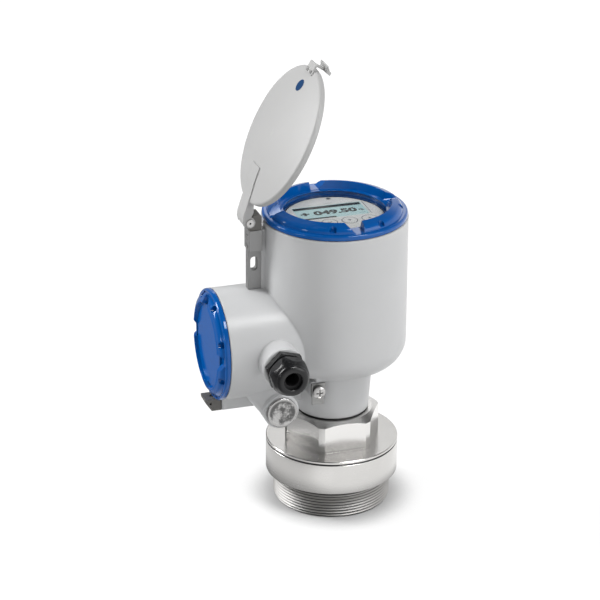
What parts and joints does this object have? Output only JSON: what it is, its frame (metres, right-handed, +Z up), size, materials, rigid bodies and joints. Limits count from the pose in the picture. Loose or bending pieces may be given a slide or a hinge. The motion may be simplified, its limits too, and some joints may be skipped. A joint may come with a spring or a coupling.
{
  "type": "radar level transmitter",
  "caption": "Radar level transmitter: threaded steel process connection, grey two-chamber housing, blue screw covers, glazed display, hinged weather lid and cable gland.",
  "frame": {"origin": "centre of the flush lens face at the lower end of the process thread, on the thread's axis", "axes": "+Z up along the thread's axis; the end chamber with the terminals points to -X; the cable entries point to -Y; the display reads along +X"},
  "size_m": [0.1546, 0.1321, 0.3444],
  "materials": {
    "turned_steel": "fine turned",
    "bright_steel": "bright",
    "plain_steel": "zinc plated",
    "lens_plastic": "machined",
    "black_rubber": "matt",
    "horn_brass": "machined",
    "casting_paint": "light grey paint, satin",
    "cover_paint": "blue paint, gloss",
    "block_paint": "dark grey brown, satin",
    "bracket_steel": "blasted",
    "gland_plastic": "moulded",
    "module_metal": "plain",
    "module_plastic": "moulded",
    "board_green": "solder mask",
    "terminal_green": "moulded",
    "bezel_cream": "printed film",
    "lcd_grey": "liquid crystal",
    "window_glass": "clear, polished",
    "retainer_metal": "plain",
    "lid_plastic": "light grey, moulded",
    "latch_plastic": "light grey, moulded",
    "dot_blue": "printed film"
  },
  "bodies": {
    "process_connection": {"process_adapter": "turned_steel", "lens": "lens_plastic", "lens_seal": "black_rubber", "horn": "horn_brass", "adapter_gasket": "black_rubber", "hex_adapter": "turned_steel", "swivel_seal": "black_rubber", "retaining_ring": "plain_steel"},
    "housing_assembly": {"housing": "casting_paint", "ground_clamp": "plain_steel", "ground_washer": "plain_steel", "ground_screw": "bright_steel", "gland_body": "gland_plastic", "gland_washer": "black_rubber", "gland_seal": "black_rubber", "gland_nut": "gland_plastic", "blanking_plug": "bright_steel", "plug_seal": "black_rubber", "end_lock_block": "block_paint", "end_lock_screw": "plain_steel", "hinge_bracket": "bracket_steel", "bracket_screws": "plain_steel", "hinge_block": "block_paint", "hinge_pin": "bright_steel", "rf_unit": "module_metal", "electronics_module": "module_plastic", "module_screws": "plain_steel", "display_board": "board_green", "display_bezel": "bezel_cream", "lcd_panel": "lcd_grey", "bezel_screws": "plain_steel", "terminal_block": "terminal_green", "terminal_screws": "plain_steel", "inner_ground_screw": "plain_steel"},
    "lid": {"lid_shell": "lid_plastic", "lid_latch": "latch_plastic", "latch_rivets": "plain_steel", "lid_dot": "dot_blue"},
    "display_cover_ring": {"display_cover_seal": "black_rubber"},
    "display_cover_assembly": {"display_cover": "cover_paint", "window_gasket": "black_rubber", "window_glass": "window_glass", "window_retainer": "retainer_metal"},
    "end_cover_ring": {"end_cover_seal": "black_rubber"},
    "end_cover_assembly": {"end_cover": "cover_paint"},
    "back_key": {"key_1": "bezel_cream"},
    "enter_key": {"key_2": "bezel_cream"},
    "down_key": {"key_3": "bezel_cream"},
    "up_key": {"key_4": "bezel_cream"}
  },
  "joints": [
    {"name": "housing_swivel", "type": "hinge", "parent": "process_connection", "child": "housing_assembly", "pos_m": [0, 0, 0.0736], "axis": [0, 0, 1], "range_deg": [-180, 180]},
    {"name": "lid_hinge", "type": "hinge", "parent": "housing_assembly", "child": "lid", "pos_m": [-0.0665, 0, 0.2305], "axis": [0, -1, 0], "range_deg": [-62.4, 48]},
    {"name": "display_cover_lift", "type": "slide", "parent": "housing_assembly", "child": "display_cover_ring", "axis": [0, 0, 1], "range_m": [0, 0.002]},
    {"name": "display_cover_turn", "type": "hinge", "parent": "display_cover_ring", "child": "display_cover_assembly", "pos_m": [0, 0, 0.2274], "axis": [0, 0, 1], "range_deg": [0, 360]},
    {"name": "end_cover_advance", "type": "slide", "parent": "housing_assembly", "child": "end_cover_ring", "axis": [-1, 0, 0], "range_m": [0, 0.002]},
    {"name": "end_cover_turn", "type": "hinge", "parent": "end_cover_ring", "child": "end_cover_assembly", "pos_m": [-0.0905, 0, 0.1352], "axis": [-1, 0, 0], "range_deg": [0, 360]},
    {"name": "back_key_press", "type": "slide", "parent": "housing_assembly", "child": "back_key", "axis": [0, 0, -1], "range_m": [0, 0.0006], "stiffness_N_per_m": 1500},
    {"name": "enter_key_press", "type": "slide", "parent": "housing_assembly", "child": "enter_key", "axis": [0, 0, -1], "range_m": [0, 0.0006], "stiffness_N_per_m": 1500},
    {"name": "down_key_press", "type": "slide", "parent": "housing_assembly", "child": "down_key", "axis": [0, 0, -1], "range_m": [0, 0.0006], "stiffness_N_per_m": 1500},
    {"name": "up_key_press", "type": "slide", "parent": "housing_assembly", "child": "up_key", "axis": [0, 0, -1], "range_m": [0, 0.0006], "stiffness_N_per_m": 1500}
  ],
  "couplings": [
    {"joint": "display_cover_lift", "follows": "display_cover_turn", "m_per_rad": 0.000318},
    {"joint": "end_cover_advance", "follows": "end_cover_turn", "m_per_rad": 0.000318}
  ]
}
